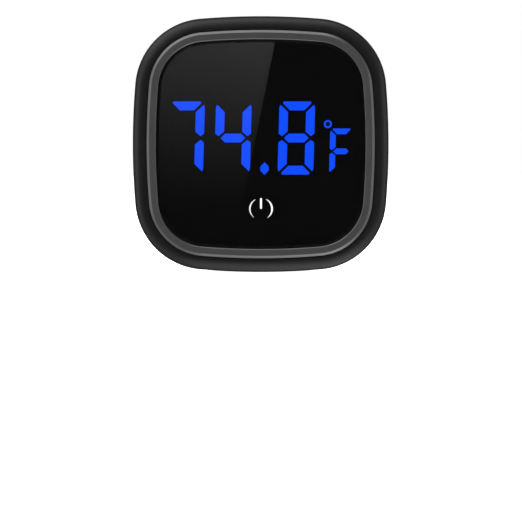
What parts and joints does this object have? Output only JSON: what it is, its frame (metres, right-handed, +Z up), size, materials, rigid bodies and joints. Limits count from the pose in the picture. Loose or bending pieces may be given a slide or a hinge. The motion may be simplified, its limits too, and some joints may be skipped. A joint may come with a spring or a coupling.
{
  "type": "digital aquarium thermometer",
  "caption": "Soft-square stick-on aquarium thermometer with a glass front, blue digit display, touch key, gel mounting pad and a turn-to-open coin cell door.",
  "frame": {"origin": "centre of the gel mounting pad's back face, which rests on the tank wall", "axes": "+Y out of the back into the tank wall, the display faces -Y, +Z up, +X to the viewer's right"},
  "size_m": [0.048, 0.015, 0.048],
  "materials": {
    "case_black": "soft-touch matte black moulded plastic",
    "cover_black": "fine-grained matte black moulded plastic",
    "ring_grey": "satin dark grey anodised, bevel polished",
    "front_glass": "polished clear glass with a bevelled edge",
    "print_black": "opaque black ink on the back of the glass",
    "tape_black": "thin black adhesive tape",
    "icon_white": "white translucent ink, lit from behind",
    "guide_milky": "milky translucent light guide",
    "segment_blue": "translucent lens, lit blue from behind",
    "segment_dark": "smoked translucent lens, unlit",
    "frame_white": "opaque white reflector plastic",
    "led_package": "light-emitting chip package",
    "spring_steel": "bright spring wire",
    "board_green": "green solder mask on glass-fibre board",
    "chip_black": "black moulded epoxy",
    "tinned_lead": "tinned copper",
    "ceramic_tan": "tan fired ceramic with tinned ends",
    "crystal_can": "nickel-plated can",
    "contact_nickel": "nickel-plated spring strip",
    "cell_steel": "nickel-plated steel",
    "cell_seal": "moulded seal",
    "cell_core": "pressed cathode and anode stack",
    "seal_black": "black moulded rubber",
    "screw_steel": "zinc-plated steel",
    "pad_foam": "closed-cell foam",
    "cap_steel": "drawn stainless steel",
    "potting": "poured epoxy",
    "bead_glass": "glass bead over the thermistor chip",
    "lead_copper": "enamelled copper wire",
    "gel_grey": "tacky translucent grey gel"
  },
  "bodies": {
    "case": {"front_case": "case_black", "trim_ring": "ring_grey", "front_glass": "front_glass", "glass_print": "print_black", "glass_tape": "tape_black", "power_icon": "icon_white", "icon_guide": "guide_milky", "light_frame": "frame_white", "digit_1_lit": "segment_blue", "digit_1_unlit": "segment_dark", "digit_2_lit": "segment_blue", "digit_2_unlit": "segment_dark", "digit_3_lit": "segment_blue", "unit_lit": "segment_blue", "unit_unlit": "segment_dark", "decimal_point": "segment_blue", "degree_ring": "segment_blue", "display_leds": "led_package", "touch_spring": "spring_steel", "main_board": "board_green", "board_screws": "screw_steel", "controller_chip": "chip_black", "controller_leads": "tinned_lead", "touch_chip": "chip_black", "touch_chip_leads": "tinned_lead", "chip_capacitors": "ceramic_tan", "chip_resistors": "chip_black", "clock_crystal": "crystal_can", "negative_contact": "contact_nickel", "positive_contact": "contact_nickel", "cell_can": "cell_steel", "cell_gasket": "cell_seal", "cell_cap": "cell_steel", "cell_core": "cell_core", "rear_cover": "cover_black", "case_gasket": "seal_black", "case_screws": "screw_steel", "sensor_cap": "cap_steel", "sensor_potting": "potting", "thermistor_bead": "bead_glass", "sensor_leads": "lead_copper", "mounting_pad": "gel_grey"},
    "door_seal": {"door_o_ring": "seal_black"},
    "door": {"battery_door": "cover_black", "door_pad": "pad_foam"}
  },
  "joints": [
    {"name": "door_lift", "type": "slide", "parent": "case", "child": "door_seal", "axis": [0, 1, 0], "range_m": [0, 0.0031]},
    {"name": "door_turn", "type": "hinge", "parent": "door_seal", "child": "door", "pos_m": [0, 0, 0.0045], "axis": [0, 1, 0], "range_deg": [0, 120]}
  ],
  "couplings": [
    {"joint": "door_lift", "follows": "door_turn", "m_per_rad": 0.0014324}
  ]
}
